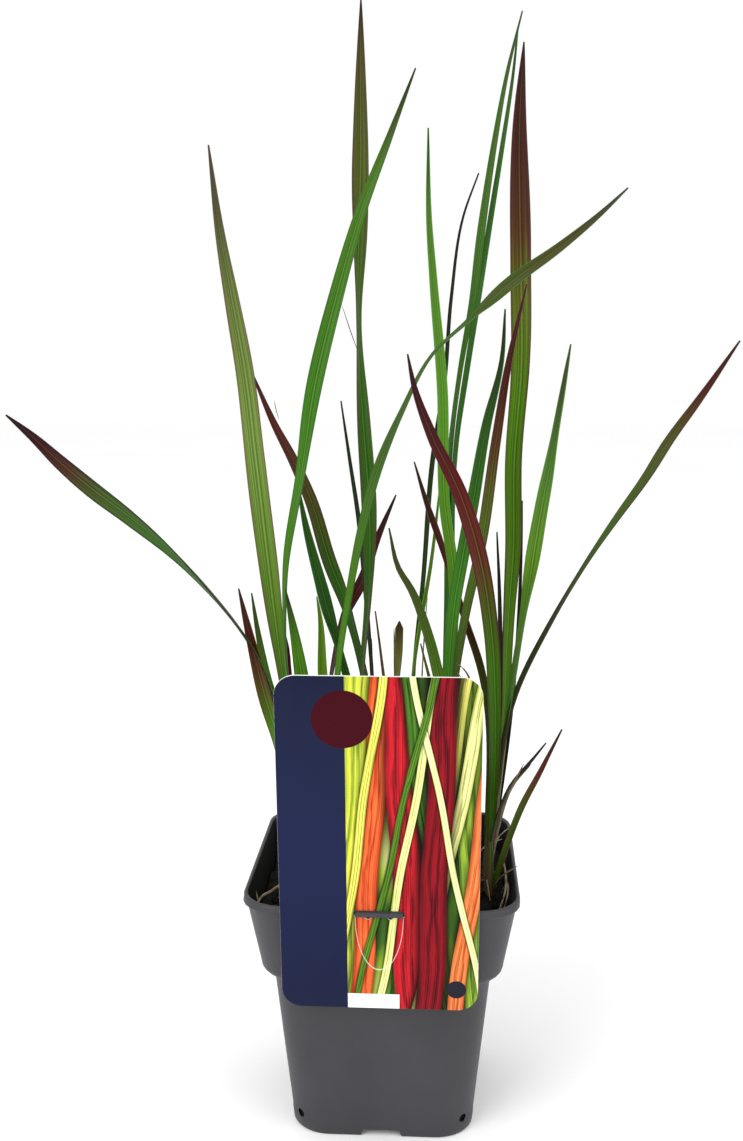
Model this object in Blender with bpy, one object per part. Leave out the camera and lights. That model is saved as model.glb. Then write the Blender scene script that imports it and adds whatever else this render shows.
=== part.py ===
"""Japanese blood grass in a 9 cm square nursery pot, with its hanging label card.

The origin is the centre of the pot's underside, +Z is up and the label faces -Y.
Sizes are millimetres, turned to metres by MM where a mesh is made.
"""

import math

import bmesh
import bpy
from mathutils import Matrix, Vector

MM = 0.001
GAP = 0.4

# Pot: half widths and heights of a square shell with a wider collar.
RIM_HALF = 45.0
RIM_HEIGHT = 88.0
LIP_DEPTH = 2.4
LIP_PROUD = 0.9
COLLAR_FOOT = 58.6
COLLAR_HALF = 40.2
COLLAR_ROUND = 4.0
BODY_HALF = 36.4
BASE_HALF = 30.9
WALL = 1.3
FLOOR = 3.8
CORNER = 12.8
CORNER_POINTS = 6

NOTCH_WIDTH = 16.0
NOTCH_HEIGHT = 2.6
DRAIN_RADIUS = 3.0
DRAIN_PLACE = 17.0
WEEP_RADIUS = 1.5
WEEP_HEIGHT = 5.8

# Label card, hung on a lug of the lip.
LABEL_WIDTH = 63.0
LABEL_BOTTOM = 53.0
LABEL_TOP = 166.4
LABEL_THICK = 0.8
LABEL_LEAN = math.radians(6.5)
LABEL_CORNER = 6.5
SLOT_WIDTH = 15.8
SLOT_HEIGHT = 2.2
SCALLOP_RADIUS = 0.9
SCALLOP_PLACE = 3.5
LUG_WIDTH = 15.0
LUG_HEIGHT = 1.4
LUG_PROUD = 2.3
LUG_Z = 87.0

# Soil, and the holes that the shoots stand in.
SOIL_TOP = 79.0
SOIL_RELIEF = 1.1
HOLE_RADIUS = 2.7
HOLE_FLOOR = 69.0
SHEATH_RADIUS = 2.2
SHEATH_FOOT = 69.5
SHEATH_TOP = 97.0

# Leaves: folded blades that start inside the sheath.
BLADE_THICK = 0.7
BLADE_FOOT = 78.0
BLADE_FOOT_WIDTH = 2.2
BLADE_TIP_WIDTH = 0.5
BLADE_STEP = 12.0
FOLD = 0.16
FRONT = Vector((0.045, -1.0, 0.15)).normalized()
GOLDEN_ANGLE = math.radians(137.5)
FOOT_SPREAD = 0.8

# Each shoot: its foot on the soil, its colour, and its leaves.
# A leaf is its full width, how far up it is widest, and the points it passes through:
# x, y, z and the turn of its flat side away from the front, in degrees.
SHOOTS = {
    "shoot_left": ((-31, -14), (0.16, 0.30, 0.06), [
        (5.7, 0.80, [(-44, -19, 167, 80), (-58, -20, 186, 70), (-68, -21, 197, 60),
                     (-82.3, -22, 209.4, 35), (-93, -23, 218, 15), (-103, -24, 227, 0),
                     (-111, -25, 235, 0), (-119, -26, 242, 0)]),
        (4.5, 0.6, [(-35.6, -17, 134, 40), (-40.2, -18, 153, 0), (-44.2, -19, 172, 0),
                    (-47, -20, 186, 0)]),
        (3.1, 0.6, [(-33, -13, 135, -30), (-38, -13, 150, 0), (-42, -12, 169, 0),
                    (-44, -12, 183, 0)]),
    ]),
    "shoot_tall_left": ((-27, 6), (0.22, 0.38, 0.07), [
        (6.8, 0.58, [(-35.5, 2, 151, -50), (-38.5, 0, 178, -25), (-43.5, -4, 227, 15),
                     (-46, -7, 256, 5), (-49.3, -9, 278, 0), (-52.5, -11, 299, 0),
                     (-55, -14, 325, 0)]),
        (2.5, 0.7, [(-34, 4, 151, 0), (-35, 4, 164, 0), (-37, 4, 170, 0)]),
    ]),
    "shoot_upright": ((-22, -8), (0.14, 0.32, 0.05), [
        (5.3, 0.62, [(-34, -7, 172, 75), (-33, -7, 193, 65), (-28.4, -6, 221, 50),
                     (-23.5, -6, 250, 10), (-16.5, -5, 278, 0), (-8.7, -5, 304, 0),
                     (1.1, -4, 329, 0), (9, -4, 349, 0)]),
        (5.5, 0.55, [(-28, -9, 154, 0), (-30, -10, 168, 0), (-33, -10, 184, 0)]),
    ]),
    "shoot_dark_short": ((-14, 20), (0.20, 0.05, 0.05), [
        (3.8, 0.6, [(-24, 23, 147, 0), (-25, 24, 169, 0), (-26, 24, 175, 0)]),
        (4.6, 0.6, [(-20.5, 25, 150, 70), (-15, 28, 170.5, 40), (-10.3, 29, 179.5, 0),
                    (-4.6, 30, 195.5, 0), (2, 31, 211, 0)]),
    ]),
    "shoot_arching": ((-12, -18), (0.15, 0.28, 0.06), [
        (4.2, 0.76, [(-15, -20, 158, 50), (-11, -21, 185, 55), (-7, -22, 206, 50),
                    (-2, -24, 225, 45), (6, -25, 244, 65), (15, -27, 261, 80),
                    (27, -28, 272, 70), (39, -30, 282.6, 0), (52.5, -31, 292.2, 0),
                    (64, -33, 301.5, 0), (72, -34, 309, 0)]),
    ]),
    "shoot_slanting": ((-3, 14), (0.14, 0.24, 0.05), [
        (5.0, 0.6, [(-9, 20, 148, 50), (-15.3, 22, 172, 45), (-21.4, 24, 188, 0),
                    (-28.4, 27, 210, 0), (-34.8, 29, 224, 0), (-41.4, 31, 236, 0),
                    (-50, 34, 255, 0)]),
        (4.9, 0.6, [(-15, 17, 148, -60), (-18, 18, 159, -60), (-24, 20, 180, 0),
                    (-30, 21, 204, 0), (-32, 22, 215, 0)]),
    ]),
    "shoot_centre": ((-5, -3), (0.12, 0.27, 0.05), [
        (5.9, 0.76, [(-8, -1, 158, 70), (-6.3, -1, 179, 55), (-5.8, 0, 209, 0),
                     (-7.6, 2, 238, -35), (-9.3, 4, 274, -80), (-9, 5, 301, -40),
                     (-9, 7, 325, 0), (-9, 8, 349, 0), (-9, 10, 373, 0)]),
        (1.8, 0.6, [(-5, 2, 152, 50), (-7, 5, 176, 40), (-9.8, 9, 204, 0),
                    (-13, 12, 224, 0), (-16.2, 14, 245, 0)]),
    ]),
    "shoot_dry_stub": ((6, 22), (0.30, 0.26, 0.12), [
        (1.3, 0.5, [(-2, 23, 147, 0), (-5, 24, 170, 0)]),
        (3.3, 0.97, [(3, 25, 146, 60), (3.4, 26, 158, 0), (3.6, 26, 166, 0)]),
    ]),
    "shoot_thin": ((12, 14), (0.08, 0.12, 0.04), [
        (1.7, 0.5, [(9, 17, 149, 50), (12, 19, 182, 35), (15, 23, 224, 0),
                    (19, 26, 252, 0), (21, 29, 280, 0), (25, 32, 308, 0),
                    (30, 34, 322, 0)]),
        (1.5, 0.6, [(9, 16, 150, -45), (15, 17, 190, 0), (18, 18, 218, 0)]),
    ]),
    "shoot_frayed": ((22, -16), (0.18, 0.22, 0.07), [
        (3.7, 0.55, [(17.8, -22, 159, 0), (14.5, -23, 172, 0), (9, -24, 187, 0),
                     (5, -25, 194, 0), (2, -26, 207, 0)]),
        (1.8, 0.5, [(16, -18, 152, 0), (12, -18, 168, 0)]),
    ]),
    "shoot_bright": ((21, 3), (0.18, 0.38, 0.05), [
        (4.3, 0.6, [(21, 0, 153, 35), (23, -2, 179, 10), (25.4, -2, 194, 10),
                    (29, -4, 215, 0), (32.9, -5, 239, 0), (37.2, -7, 259, 35),
                    (38, -8, 275, 0)]),
        (3.6, 0.6, [(22.7, 3, 166, 20), (22.3, 3, 190, 10), (19.6, 3, 209, 0),
                    (18.2, 2, 250, 0), (15, 2, 285, 0), (13.5, 2, 303, 0),
                    (13, 2, 332, 0)]),
        (3.9, 0.45, [(21, 12, 171, -40), (21.4, 17, 232, -65), (24.4, 19, 256, -60),
                     (28.3, 21, 279, -45), (31.3, 24, 305.4, 0), (35.1, 27, 331.8, 0),
                     (39.2, 30, 354.8, 0), (43.8, 32, 374, 0)]),
        (1.9, 0.75, [(22.5, 13, 171, -40), (23.4, 18.5, 232, -30), (26.6, 20.5, 256, 0),
                     (30.4, 22.5, 281, 0), (34, 26, 305.6, 0), (38, 29, 332.1, 0),
                     (41.2, 32, 355.2, 0), (42.5, 34, 369, 0)]),
    ]),
    "shoot_maroon": ((27, -6), (0.22, 0.12, 0.05), [
        (3.6, 0.62, [(23.8, -5, 155, 60), (26.6, -4, 175, 40), (31.2, -4, 197, 25),
                     (36, -3, 233, 0), (39.3, -3, 256, 0), (45, -2, 283, 0)]),
    ]),
    "shoot_right": ((36, 8), (0.16, 0.33, 0.06), [
        (5.4, 0.62, [(37, -2, 145, 15), (35, -9, 171, 20), (31, -16, 195, 15),
                     (24, -23, 218, 0), (15, -31, 237, 0), (10, -36, 251, 0),
                     (8, -40, 261, 0)]),
        (3.0, 0.7, [(32, 8, 155, 35), (27, 7, 170, 45), (19, 7, 195, 45),
                    (13, 7, 212, 0), (9, 7, 225, 0)]),
        (6.9, 0.78, [(41, 10, 142, -30), (42, 11, 173, -25), (43, 12, 194, 0),
                     (42.6, 14, 225, 25), (44.4, 15, 256, 30), (44, 17, 292, 0),
                     (43, 20, 339, 0), (44, 22, 362, 0)]),
        (1.3, 0.6, [(44, 12, 145, 35), (46, 15, 191, 0), (46, 16, 211, 0)]),
        (1.8, 0.5, [(39, 5, 147, 10), (38, 3, 185, 0), (37, 2, 202, 0)]),
        (4.9, 0.6, [(43.4, 3, 153, 75), (46.2, 1, 175, 65), (50.6, -2, 206, 0),
                    (55, -5, 236, 45), (59, -8, 264, 0)]),
        (3.1, 0.78, [(46, 0, 152, 65), (54, -3, 170.4, 70), (64, -6.5, 190, 72),
                     (74.5, -9.5, 207.8, 60), (83, -12.5, 221.5, 40), (90.3, -15, 234.6, 0),
                     (98.2, -17.8, 247, 0), (109, -22, 265, 0)]),
    ]),
    "shoot_small_right": ((36, -8), (0.20, 0.18, 0.07), [
        (2.1, 0.5, [(41, -12, 96, 15), (46, -15, 112, 15), (52, -18, 126, 0),
                    (58, -22, 141, 0)]),
        (1.7, 0.5, [(40, -3, 108, -35), (43, -1, 114, 0), (51, 1, 124, 0),
                    (55, 2, 129, 0)]),
    ]),
}


def clear_scene():
    for obj in list(bpy.data.objects):
        bpy.data.objects.remove(obj, do_unlink=True)


def new_collection(name):
    collection = bpy.data.collections.new(name)
    bpy.context.scene.collection.children.link(collection)
    return collection


def material(name, colour, roughness):
    made = bpy.data.materials.new(name)
    made.use_nodes = True
    shader = made.node_tree.nodes["Principled BSDF"]
    shader.inputs["Base Color"].default_value = (*colour, 1.0)
    shader.inputs["Roughness"].default_value = roughness
    return made


def object_from(bm, name, collection, finish=None):
    bmesh.ops.recalc_face_normals(bm, faces=bm.faces)
    mesh = bpy.data.meshes.new(name)
    bm.to_mesh(mesh)
    bm.free()
    obj = bpy.data.objects.new(name, mesh)
    collection.objects.link(obj)
    if finish:
        mesh.materials.append(finish)
    return obj


def bake(obj):
    """Turns the modifiers of obj into its mesh."""
    graph = bpy.context.evaluated_depsgraph_get()
    mesh = bpy.data.meshes.new_from_object(obj.evaluated_get(graph))
    obj.modifiers.clear()
    obj.data = mesh


def combine(obj, others, operation):
    """Joins to obj, or cuts from it, every object of the collection, and removes that."""
    modifier = obj.modifiers.new(operation.lower(), "BOOLEAN")
    modifier.operation = operation
    modifier.operand_type = "COLLECTION"
    modifier.collection = others
    modifier.solver = "EXACT"
    bake(obj)
    for other in list(others.objects):
        bpy.data.objects.remove(other, do_unlink=True)
    bpy.data.collections.remove(others)


def keep_main_body(obj):
    """Drops loose scraps and the skins of hollows that the joining sealed."""
    bm = bmesh.new()
    bm.from_mesh(obj.data)
    left = set(bm.verts)
    islands = []
    while left:
        island = []
        reached = [left.pop()]
        while reached:
            vertex = reached.pop()
            island.append(vertex)
            for edge in vertex.link_edges:
                other = edge.other_vert(vertex)
                if other in left:
                    left.remove(other)
                    reached.append(other)
        islands.append(island)
    islands.sort(key=len)
    for island in islands[:-1]:
        bmesh.ops.delete(bm, geom=island, context="VERTS")
    bm.to_mesh(obj.data)
    bm.free()


def hide_cutters(cutters):
    cutters.hide_render = True
    for cutter in cutters.objects:
        cutter.hide_render = True
        cutter.display_type = "WIRE"


def rounded_square(half, radius, z):
    """Points of a square ring with round corners, in millimetres."""
    points = []
    for quarter in range(4):
        turn = Matrix.Rotation(quarter * math.pi / 2, 3, "Z")
        for step in range(CORNER_POINTS):
            angle = step / (CORNER_POINTS - 1) * math.pi / 2
            corner = Vector((
                half - radius + radius * math.cos(angle),
                half - radius + radius * math.sin(angle),
                z,
            ))
            points.append(turn @ corner)
    return points


def add_rings(bm, rings):
    """Skins a run of equal rings with quads and returns their rows of vertices."""
    rows = [[bm.verts.new(point * MM) for point in ring] for ring in rings]
    for low, high in zip(rows, rows[1:]):
        count = len(low)
        for k in range(count):
            after = (k + 1) % count
            bm.faces.new((low[k], low[after], high[after], high[k]))
    return rows


def box(name, size, place, collection, turn=0.0):
    bm = bmesh.new()
    bmesh.ops.create_cube(bm, size=1.0)
    matrix = Matrix.Rotation(turn, 4, "Z") @ Matrix.Translation(Vector(place) * MM)
    bmesh.ops.transform(bm, matrix=matrix @ Matrix.Diagonal((*(Vector(size) * MM), 1.0)),
                        verts=bm.verts)
    return object_from(bm, name, collection)


def rod(name, radius, length, matrix, collection, sides=12):
    bm = bmesh.new()
    bmesh.ops.create_cone(bm, cap_ends=True, segments=sides, radius1=radius * MM,
                          radius2=radius * MM, depth=length * MM)
    bmesh.ops.transform(bm, matrix=matrix, verts=bm.verts)
    return object_from(bm, name, collection)


def place(x, y, z):
    return Matrix.Translation(Vector((x, y, z)) * MM)


def outer_rings():
    """Outside of the pot from the base edge to the top of the lip."""
    rings = [(BASE_HALF - 0.8, CORNER - 0.8, 0.0), (BASE_HALF, CORNER, 0.8),
             (BODY_HALF, CORNER, COLLAR_FOOT)]
    for degrees in (15, 50, 85):
        angle = math.radians(degrees)
        half = COLLAR_HALF - COLLAR_ROUND * (1 - math.sin(angle))
        z = COLLAR_FOOT + COLLAR_ROUND * (1 - math.cos(angle))
        rings.append((half, CORNER, z))
    lip_foot = RIM_HEIGHT - LIP_DEPTH
    rings += [(RIM_HALF - LIP_PROUD, CORNER, lip_foot - 0.5), (RIM_HALF, CORNER, lip_foot),
              (RIM_HALF, CORNER, RIM_HEIGHT - 0.5), (RIM_HALF - 0.5, CORNER, RIM_HEIGHT)]
    return rings


def inner_rings(inset=0.0):
    """Inside of the pot from the floor to the lip, moved in by inset."""
    corner = CORNER - WALL
    ledge = COLLAR_FOOT + WALL
    return [(BASE_HALF - WALL - inset, corner - inset, FLOOR + inset),
            (BODY_HALF - WALL - inset, corner - inset, ledge + inset),
            (COLLAR_HALF - 2.5 - inset, corner - inset, ledge + 1.2 + inset),
            (COLLAR_HALF - WALL - inset, corner - inset, ledge + 4.2 + inset),
            (RIM_HALF - LIP_PROUD - WALL - inset, corner - inset, RIM_HEIGHT - LIP_DEPTH)]


def build_pot(collection):
    bm = bmesh.new()
    rings = outer_rings() + [(RIM_HALF - 1.9, CORNER - 1.0, RIM_HEIGHT)]
    rings += reversed(inner_rings())
    rows = add_rings(bm, [rounded_square(*ring) for ring in rings])
    bm.faces.new(reversed(rows[0]))
    bm.faces.new(rows[-1])
    plastic = material("moulded_grey_plastic", (0.065, 0.065, 0.07), 0.45)
    pot = object_from(bm, "pot", collection, plastic)

    lug = new_collection("lug")
    box("label_lug", (LUG_WIDTH, LUG_PROUD + 0.6, LUG_HEIGHT),
        (0, -RIM_HALF - LUG_PROUD / 2 + 0.3, LUG_Z), lug)
    combine(pot, lug, "UNION")

    cutters = new_collection("pot_cutters")
    for quarter in range(4):
        turn = Matrix.Rotation(quarter * math.pi / 2, 4, "Z")
        notch = box("notch_cutter", (NOTCH_WIDTH, 12, 2 * NOTCH_HEIGHT),
                    (0, -BASE_HALF - 1, 0), cutters, turn=quarter * math.pi / 2)
        narrow_top(notch, quarter)
        rod("drain_cutter", DRAIN_RADIUS, 4 * FLOOR,
            turn @ place(DRAIN_PLACE, DRAIN_PLACE, 0), cutters)
        diagonal = turn @ Matrix.Rotation(math.pi / 4, 4, "Z")
        reach = (BASE_HALF - CORNER) * math.sqrt(2) + CORNER
        lay = Matrix.Rotation(math.pi / 2, 4, "Y")
        rod("weep_cutter", WEEP_RADIUS, 9, diagonal @ place(reach, 0, WEEP_HEIGHT) @ lay,
            cutters)
    hide_cutters(cutters)
    cut = pot.modifiers.new("openings", "BOOLEAN")
    cut.operation = "DIFFERENCE"
    cut.operand_type = "COLLECTION"
    cut.collection = cutters
    return pot


def narrow_top(notch, quarter):
    """Draws the notch in at its top, along the edge that it opens."""
    along = Vector((1, 0, 0)) if quarter % 2 == 0 else Vector((0, 1, 0))
    for vertex in notch.data.vertices:
        if vertex.co.z > 0:
            vertex.co -= along * vertex.co.dot(along) * 0.25


def soil_height(x, y):
    """Crumbly top of the soil: a few crossing waves."""
    waves = math.sin(x * 0.31 + 1.0) * math.cos(y * 0.27) + 0.5 * math.sin(x * 0.7 - y * 0.5)
    return SOIL_TOP - SOIL_RELIEF + SOIL_RELIEF * waves / 1.5


def build_soil(collection):
    walls = [ring for ring in inner_rings(GAP) if ring[2] < SOIL_TOP - 4]
    low, high = inner_rings(GAP)[-2], inner_rings(GAP)[-1]
    share = (SOIL_TOP - SOIL_RELIEF - low[2]) / (high[2] - low[2])
    edge_half = low[0] + share * (high[0] - low[0])
    rings = [rounded_square(*ring) for ring in walls]
    for scale in (1.0, 0.82, 0.62, 0.4, 0.2):
        ring = rounded_square(edge_half * scale, (CORNER - WALL - GAP) * scale, 0)
        for point in ring:
            point.z = soil_height(point.x, point.y)
        rings.append(ring)
    bm = bmesh.new()
    rows = add_rings(bm, rings)
    bm.faces.new(reversed(rows[0]))
    centre = bm.verts.new(Vector((0, 0, soil_height(0, 0))) * MM)
    for k, vertex in enumerate(rows[-1]):
        bm.faces.new((vertex, rows[-1][(k + 1) % len(rows[-1])], centre))
    bmesh.ops.triangulate(bm, faces=bm.faces)
    soil = object_from(bm, "soil", collection, material("peat", (0.03, 0.02, 0.013), 0.95))

    cutters = new_collection("soil_cutters")
    for (x, y), _, _ in SHOOTS.values():
        rod("hole_cutter", HOLE_RADIUS, 2 * (SOIL_TOP + 5 - HOLE_FLOOR),
            place(x, y, SOIL_TOP + 5), cutters, sides=10)
    hide_cutters(cutters)
    cut = soil.modifiers.new("shoot_holes", "BOOLEAN")
    cut.operation = "DIFFERENCE"
    cut.operand_type = "COLLECTION"
    cut.collection = cutters
    return soil


def build_label(collection):
    """A flat card with round corners and a slot, leaning out at its top."""
    half_height = (LABEL_TOP - LABEL_BOTTOM) / 2 / math.cos(LABEL_LEAN)
    bm = bmesh.new()
    rings = []
    for depth in (LABEL_THICK / 2, -LABEL_THICK / 2):
        ring = []
        for sx, sz, start in ((1, 1, 0), (-1, 1, 1), (-1, -1, 2), (1, -1, 3)):
            for step in range(CORNER_POINTS):
                angle = (start + step / (CORNER_POINTS - 1)) * math.pi / 2
                ring.append(Vector((
                    sx * (LABEL_WIDTH / 2 - LABEL_CORNER) + LABEL_CORNER * math.cos(angle),
                    depth,
                    sz * (half_height - LABEL_CORNER) + LABEL_CORNER * math.sin(angle),
                )))
        rings.append(ring)
    rows = add_rings(bm, rings)
    bm.faces.new(rows[0])
    bm.faces.new(rows[1])
    card = object_from(bm, "label_card", collection,
                       material("printed_card", (0.05, 0.06, 0.16), 0.3))
    lean = Matrix.Rotation(LABEL_LEAN, 4, "X")
    middle_z = (LABEL_TOP + LABEL_BOTTOM) / 2
    back = RIM_HALF + LABEL_THICK / 2 + GAP + (middle_z - LUG_Z) * math.tan(LABEL_LEAN)
    stand = place(0, -back, middle_z) @ lean
    card.data.transform(stand)

    cutters = new_collection("label_cutters")
    slot_z = (LUG_Z - middle_z) / math.cos(LABEL_LEAN)
    slot = box("slot_cutter", (SLOT_WIDTH, 6, SLOT_HEIGHT), (0, 0, slot_z), cutters)
    slot.data.transform(stand)
    lay = Matrix.Rotation(math.pi / 2, 4, "X")
    for side in (-1, 1):
        rod("scallop_cutter", SCALLOP_RADIUS, 6,
            stand @ place(side * SCALLOP_PLACE, 0, slot_z - SLOT_HEIGHT / 2) @ lay, cutters)
    hide_cutters(cutters)
    cut = card.modifiers.new("slot", "BOOLEAN")
    cut.operation = "DIFFERENCE"
    cut.operand_type = "COLLECTION"
    cut.collection = cutters
    return card


def smooth_route(points, step):
    """Points of a smooth curve through the given ones, each x, y, z and turn."""
    chords = [(b.xyz - a.xyz).length for a, b in zip(points, points[1:])]
    slopes = [(b - a) / d for a, b, d in zip(points, points[1:], chords)]
    tangents = [slopes[0]]
    for k in range(1, len(points) - 1):
        before, after = chords[k - 1], chords[k]
        tangents.append((slopes[k - 1] * after + slopes[k] * before) / (before + after))
    tangents.append(slopes[-1])
    route = []
    for k, chord in enumerate(chords):
        count = max(1, round(chord / step))
        for j in range(count):
            t = j / count
            route.append(points[k] * (2 * t**3 - 3 * t**2 + 1)
                         + tangents[k] * chord * (t**3 - 2 * t**2 + t)
                         + points[k + 1] * (3 * t**2 - 2 * t**3)
                         + tangents[k + 1] * chord * (t**3 - t**2))
    route.append(points[-1])
    return route


def blade_width(share, width, widest):
    """Width at a share of the length: narrow at the foot, long pointed tip."""
    if share < widest:
        foot = min(1.0, BLADE_FOOT_WIDTH / width)
        return width * (foot + (1 - foot) * math.sin(math.pi / 2 * share / widest) ** 1.3)
    past = (share - widest) / (1 - widest)
    return BLADE_TIP_WIDTH + (width - BLADE_TIP_WIDTH) * (1 - past**1.8)


def blade(name, foot, number, leaf, collection):
    """One folded leaf of even thickness, three points across on each face."""
    width, widest, stops = leaf
    angle = number * GOLDEN_ANGLE
    start = Vector((foot[0] + FOOT_SPREAD * math.cos(angle),
                    foot[1] + FOOT_SPREAD * math.sin(angle),
                    BLADE_FOOT, 25 + 50 * (number % 3)))
    route = smooth_route([start] + [Vector(stop) for stop in stops], BLADE_STEP)
    lengths = [0.0]
    for a, b in zip(route, route[1:]):
        lengths.append(lengths[-1] + (b.xyz - a.xyz).length)
    bm = bmesh.new()
    rows = []
    for k, stop in enumerate(route):
        ahead = route[min(k + 1, len(route) - 1)].xyz - route[max(k - 1, 0)].xyz
        level = ahead.normalized().cross(FRONT).normalized()
        facing = level.cross(ahead.normalized())
        turn = math.radians(stop.w)
        across = level * math.cos(turn) + facing * math.sin(turn)
        facing = facing * math.cos(turn) - level * math.sin(turn)
        half = blade_width(lengths[k] / lengths[-1], width, widest) / 2
        line = (stop.xyz - across * half, stop.xyz - facing * half * 2 * FOLD,
                stop.xyz + across * half)
        rows.append([[bm.verts.new((point + facing * side * BLADE_THICK / 2) * MM)
                      for point in line] for side in (1, -1)])
    for low, high in zip(rows, rows[1:]):
        for side in (0, 1):
            for k in (0, 1):
                a, b = low[side][k], low[side][k + 1]
                c, d = high[side][k + 1], high[side][k]
                bm.faces.new((a, b, c))
                bm.faces.new((a, c, d))
        for k in (0, 2):
            bm.faces.new((low[0][k], low[1][k], high[1][k], high[0][k]))
    for row in (rows[0], rows[-1]):
        for k in (0, 1):
            bm.faces.new((row[0][k], row[0][k + 1], row[1][k + 1], row[1][k]))
    return object_from(bm, name, collection)


def build_shoot(name, foot, colour, leaves, collection):
    """A short leaf sheath standing in its hole, with its leaves joined to it."""
    bm = bmesh.new()
    rings = []
    for z, radius in ((SHEATH_FOOT, SHEATH_RADIUS), (SOIL_TOP + 2, SHEATH_RADIUS - 0.2),
                      (SOIL_TOP + 10, 1.5), (SHEATH_TOP, 0.7)):
        rings.append([Vector((foot[0] + radius * math.cos(k * math.pi / 4),
                              foot[1] + radius * math.sin(k * math.pi / 4), z))
                      for k in range(8)])
    rows = add_rings(bm, rings)
    bm.faces.new(reversed(rows[0]))
    bm.faces.new(rows[-1])
    sheath = object_from(bm, name, collection, material(name + "_leaf", colour, 0.5))
    fused = new_collection(name + "_leaves")
    for number, leaf in enumerate(leaves):
        blade(f"{name}_leaf_{number}", foot, number, leaf, fused)
    combine(sheath, fused, "UNION")
    keep_main_body(sheath)
    return sheath


def main():
    clear_scene()
    plant = new_collection("japanese_blood_grass")
    build_pot(plant)
    build_soil(plant)
    build_label(plant)
    for name, (foot, colour, leaves) in SHOOTS.items():
        build_shoot(name, foot, colour, leaves, plant)


main()
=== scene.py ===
"""Japanese blood grass in its square nursery pot: the looks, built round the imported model."""

import math
import random

import bpy
from mathutils import Matrix, Vector


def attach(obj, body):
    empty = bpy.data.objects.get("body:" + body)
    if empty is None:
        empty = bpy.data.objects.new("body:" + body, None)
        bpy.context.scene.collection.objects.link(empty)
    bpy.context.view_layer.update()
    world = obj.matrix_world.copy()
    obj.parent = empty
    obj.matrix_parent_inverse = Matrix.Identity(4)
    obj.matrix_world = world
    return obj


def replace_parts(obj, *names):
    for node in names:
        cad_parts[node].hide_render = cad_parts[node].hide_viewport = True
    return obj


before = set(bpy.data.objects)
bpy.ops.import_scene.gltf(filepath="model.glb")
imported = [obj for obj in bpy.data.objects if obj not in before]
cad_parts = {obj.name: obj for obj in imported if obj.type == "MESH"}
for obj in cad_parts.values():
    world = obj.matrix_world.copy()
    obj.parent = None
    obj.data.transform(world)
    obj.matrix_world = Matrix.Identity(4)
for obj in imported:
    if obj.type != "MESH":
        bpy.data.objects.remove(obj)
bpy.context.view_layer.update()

MM = 0.001
draw = random.Random(41)

# Pot, as in the model: half widths and heights of a square shell with a wider collar.
RIM_HALF = 45.0
RIM_HEIGHT = 88.0
LIP_DEPTH = 2.4
LIP_PROUD = 0.9
LIP_THICK = 1.2
COLLAR_FOOT = 58.6
COLLAR_HALF = 40.2
COLLAR_ROUND = 4.0
BODY_HALF = 36.4
BASE_HALF = 30.9
WALL = 1.3
FLOOR = 3.8
CORNER = 12.8
CORNER_POINTS = 14
SIDE_POINTS = 6
BASE_EASE = 0.22
NOTCH_WIDTH = 16.0
NOTCH_HEIGHT = 2.6
WEEP_RADIUS = 1.5
WEEP_HEIGHT = 5.8
DRAIN_RADIUS = 3.0
DRAIN_PLACE = 17.0
STEP_HEIGHT = 4.6

# Label card and the lug that it hangs on.
LABEL_WIDTH = 63.0
LABEL_BOTTOM = 53.0
LABEL_TOP = 166.4
LABEL_THICK = 0.8
LABEL_LEAN = math.radians(6.5)
LABEL_CORNER = 6.5
LABEL_GAP = 0.4
SLOT_WIDTH = 15.8
SLOT_HEIGHT = 2.2
SCALLOP_RADIUS = 0.9
SCALLOP_PLACE = 3.5
LUG_WIDTH = 15.0
LUG_HEIGHT = 1.4
LUG_PROUD = 2.3
LUG_Z = 87.0

# The card's print: right edge of the blue field, the disc, the pale strip, the dark spot
# and the pressed line of the tongue under the slot.
PRINT_SPLIT = -10.2
DISC_CENTRE = (-11.0, 152.5)
DISC_RADIUS = 9.4
STRIP_RIGHT = 6.4
STRIP_TOP = 58.2
SPOT_CENTRE = (24.6, 60.5)
SPOT_RADIUS = 3.2
TONGUE_HALF = 7.6
TONGUE_DEPTH = 18.5
TONGUE_DROP = 1.4
TONGUE_LINE = 0.013

# Soil, what lies on it, and the leaf sheaths.
SOIL_TOP = 79.0
SOIL_RELIEF = 1.1
SOIL_GRIT = 0.45
SOIL_HALF = 40.9
SOIL_INSET = 0.4
SOIL_RINGS = 30
SOIL_AROUND = 120
CRUMB_COUNT = 230
CRUMB_REACH = 38
STRAW_COUNT = 60
STRAW_REACH = 36
THREAD_STEP = 1.5
THREAD_SIDES = 6
SHEATH_RADIUS = 2.2
SHEATH_NECK = 0.75
SHEATH_SUNK = 3
SHEATH_TOP = 97.0

# Leaves.
LEAF_THICK = 0.34
LEAF_FOOT = 78.0
LEAF_FOOT_WIDTH = 2.2
LEAF_TIP_WIDTH = 0.4
LEAF_STEP = 3.0
LEAF_ACROSS = 8
FOLD = 0.16
MIDRIB = 0.12
WAVE = 0.09
FRONT = Vector((0.045, -1.0, 0.15)).normalized()
GOLDEN_ANGLE = math.radians(137.5)
FOOT_SPREAD = 0.8

# The photograph's camera, in metres and degrees, worked out from the pot's outline.
CAMERA_PLACE = (0.0193, -0.4308, 0.2634)
CAMERA_TILT = 80.2
CAMERA_TURN = 3.23
CAMERA_LENS = 41.0

# Sizes of the patterns in the materials, in millimetres. A mould's grain and a print's
# streaks are finer, and are drawn as coarse as they need to show.
MOULD_CLOUD = 26.3
MOULD_GRAIN = 0.3846
PEAT_CRUMB = 2.38
FIBRE_PATCH = 3.85
CARD_RIPPLE = 22.2
PRINT_BLUR = (16.67, 16.67, 38.46)
PRINT_SWAY = (1000, 1000, 45.45)
PRINT_PATCH = (4.17, 4.17, 23.8)
PRINT_STREAK = 0.29412
RIBBON_BOW = 4.0
FLOOR_CLOUD = 333

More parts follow.
